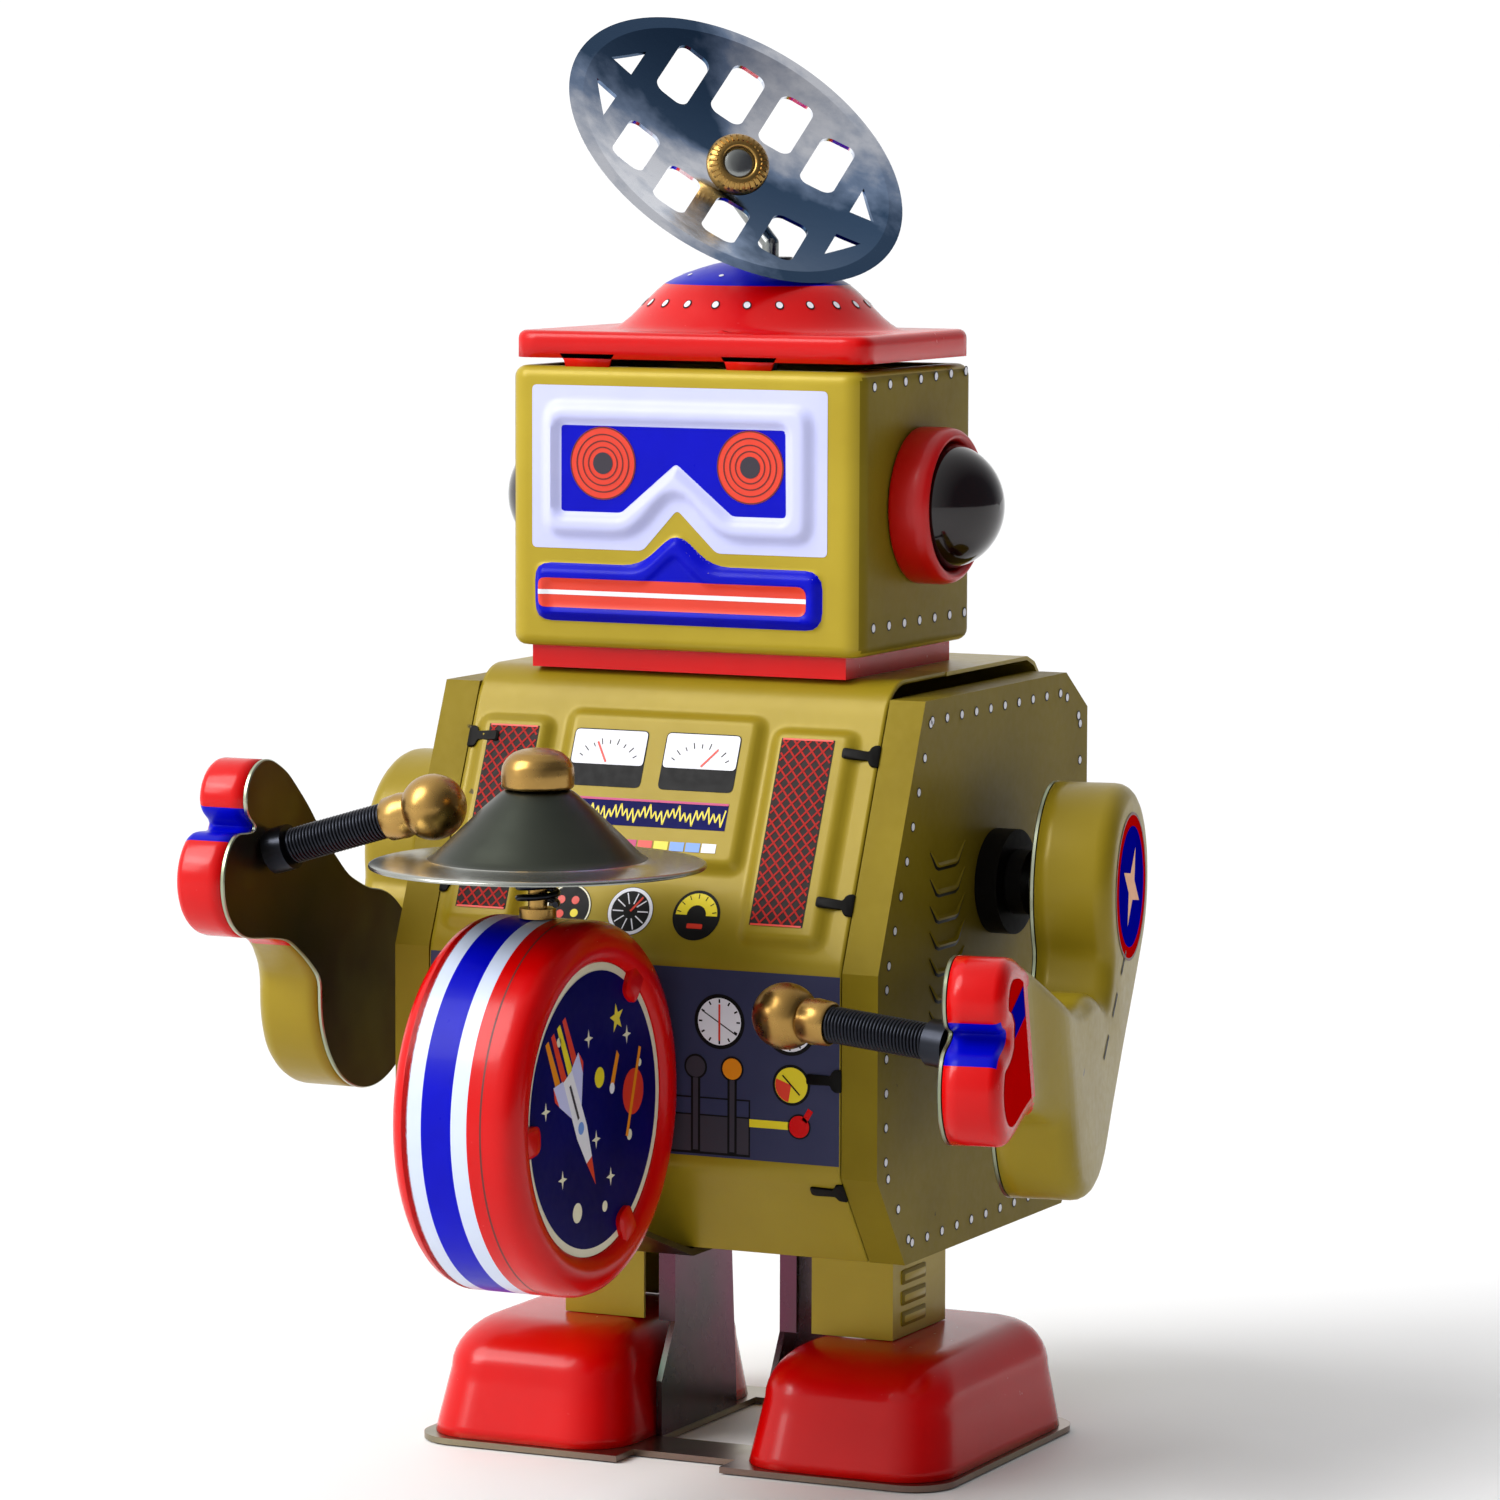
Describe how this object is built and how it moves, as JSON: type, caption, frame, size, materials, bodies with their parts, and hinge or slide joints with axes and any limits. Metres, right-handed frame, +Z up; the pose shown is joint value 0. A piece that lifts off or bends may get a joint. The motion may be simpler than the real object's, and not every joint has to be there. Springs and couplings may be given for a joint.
{
  "type": "wind-up tin robot drummer",
  "caption": "Wind-up tin robot with a spinning slotted dish on its head, hinged arms with spring drumsticks, a drum at its chest and a cymbal on a spring.",
  "frame": {"origin": "underside of the base plate, in the middle of its front strap", "axes": "+X towards the robot's left, -Y towards its front, +Z up along its height"},
  "size_m": [0.114, 0.1374, 0.1866],
  "materials": {
    "olive_tin": "lithographed gloss",
    "red_tin": "lithographed gloss",
    "drum_tin": "lithographed stripes, gloss",
    "drum_print": "lithographed picture, gloss",
    "zinc_plate": "yellow-green zinc plated",
    "bright_steel": "bright",
    "dish_chrome": "polished, finely scratched",
    "brass": "polished",
    "red_plastic": "gloss",
    "dark_plastic": "gloss",
    "black_steel": "blackened"
  },
  "bodies": {
    "robot": {"base_plate": "zinc_plate", "body_front_panel": "olive_tin", "body_back_panel": "olive_tin", "body_bottom_panel": "olive_tin", "neck_collar": "red_tin", "head_shell": "olive_tin", "head_lid": "red_tin", "lid_dome": "red_tin", "shaft_bush": "black_steel", "drum_shell": "drum_tin", "drum_head_left": "drum_print", "drum_head_right": "drum_print", "drum_bracket": "zinc_plate", "cymbal_post": "brass", "cymbal_nut": "brass", "shoulder_bushes": "dark_plastic", "motor_plate_front": "zinc_plate", "motor_plate_rear": "zinc_plate", "motor_pillars": "bright_steel", "mainspring": "black_steel", "shoe_left": "red_tin", "leg_cover_left": "olive_tin", "leg_plate_left": "zinc_plate", "body_side_left": "olive_tin", "ear_ring_left": "red_plastic", "ear_dome_left": "dark_plastic", "shoe_right": "red_tin", "leg_cover_right": "olive_tin", "leg_plate_right": "zinc_plate", "body_side_right": "olive_tin", "ear_ring_right": "red_plastic", "ear_dome_right": "dark_plastic"},
    "cymbal": {"cymbal": "bright_steel", "cymbal_spring": "black_steel"},
    "dish": {"dish": "dish_chrome", "dish_eyelet": "brass", "dish_shaft": "bright_steel", "dish_pinion": "brass"},
    "key": {"winding_key": "zinc_plate", "winding_arbor": "bright_steel", "ratchet_wheel": "bright_steel"},
    "great": {"great_wheel": "brass", "ratchet_pawl": "bright_steel"},
    "second": {"second_wheel": "brass"},
    "crank": {"crank_arbor": "bright_steel", "crown_wheel": "brass", "eccentric_cam": "bright_steel"},
    "governor": {"governor_fly": "bright_steel"},
    "arm_left": {"arm_plate_left": "zinc_plate", "arm_shell_left": "olive_tin", "arm_axle_left": "bright_steel", "stick_bush_left": "black_steel", "drumstick_spring_left": "black_steel", "drumstick_tip_left": "brass"},
    "arm_right": {"arm_plate_right": "zinc_plate", "arm_shell_right": "olive_tin", "arm_axle_right": "bright_steel", "stick_bush_right": "black_steel", "drumstick_spring_right": "black_steel", "drumstick_tip_right": "brass"}
  },
  "joints": [
    {"name": "dish_spin", "type": "hinge", "parent": "robot", "child": "dish", "pos_m": [0.0015, 0.0175, 0.15], "axis": [0, 0, 1], "continuous": true},
    {"name": "key_spin", "type": "hinge", "parent": "robot", "child": "key", "pos_m": [0.0015, 0.0125, 0.056], "axis": [0, 1, 0], "continuous": true},
    {"name": "great_wheel_spin", "type": "hinge", "parent": "robot", "child": "great", "pos_m": [0.0015, 0.0125, 0.056], "axis": [0, 1, 0], "continuous": true},
    {"name": "second_wheel_spin", "type": "hinge", "parent": "robot", "child": "second", "pos_m": [-0.0075, 0.0125, 0.068], "axis": [0, 1, 0], "continuous": true},
    {"name": "crank_spin", "type": "hinge", "parent": "robot", "child": "crank", "pos_m": [0.0015, 0.0125, 0.07667], "axis": [0, 1, 0], "continuous": true},
    {"name": "governor_spin", "type": "hinge", "parent": "robot", "child": "governor", "pos_m": [-0.0179, 0.0125, 0.062], "axis": [0, 1, 0], "continuous": true},
    {"name": "cymbal_bounce", "type": "slide", "parent": "robot", "child": "cymbal", "axis": [0, 0, 1], "range_m": [-0.0025, 0], "stiffness_N_per_m": 400, "springref_m": 0.0005, "deforming": ["cymbal_spring"]},
    {"name": "arm_left_lift", "type": "hinge", "parent": "robot", "child": "arm_left", "pos_m": [0, 0.017, 0.0754], "axis": [-1, 0, 0], "range_deg": [0, 20]},
    {"name": "arm_right_lift", "type": "hinge", "parent": "robot", "child": "arm_right", "pos_m": [0, 0.017, 0.0754], "axis": [-1, 0, 0], "range_deg": [0, 20]}
  ],
  "couplings": [
    {"joint": "crank_spin", "follows": "dish_spin", "ratio": 0.6},
    {"joint": "second_wheel_spin", "follows": "dish_spin", "ratio": -0.15},
    {"joint": "great_wheel_spin", "follows": "dish_spin", "ratio": 0.0375},
    {"joint": "key_spin", "follows": "dish_spin", "ratio": 0.0375},
    {"joint": "governor_spin", "follows": "dish_spin", "ratio": 0.75}
  ]
}
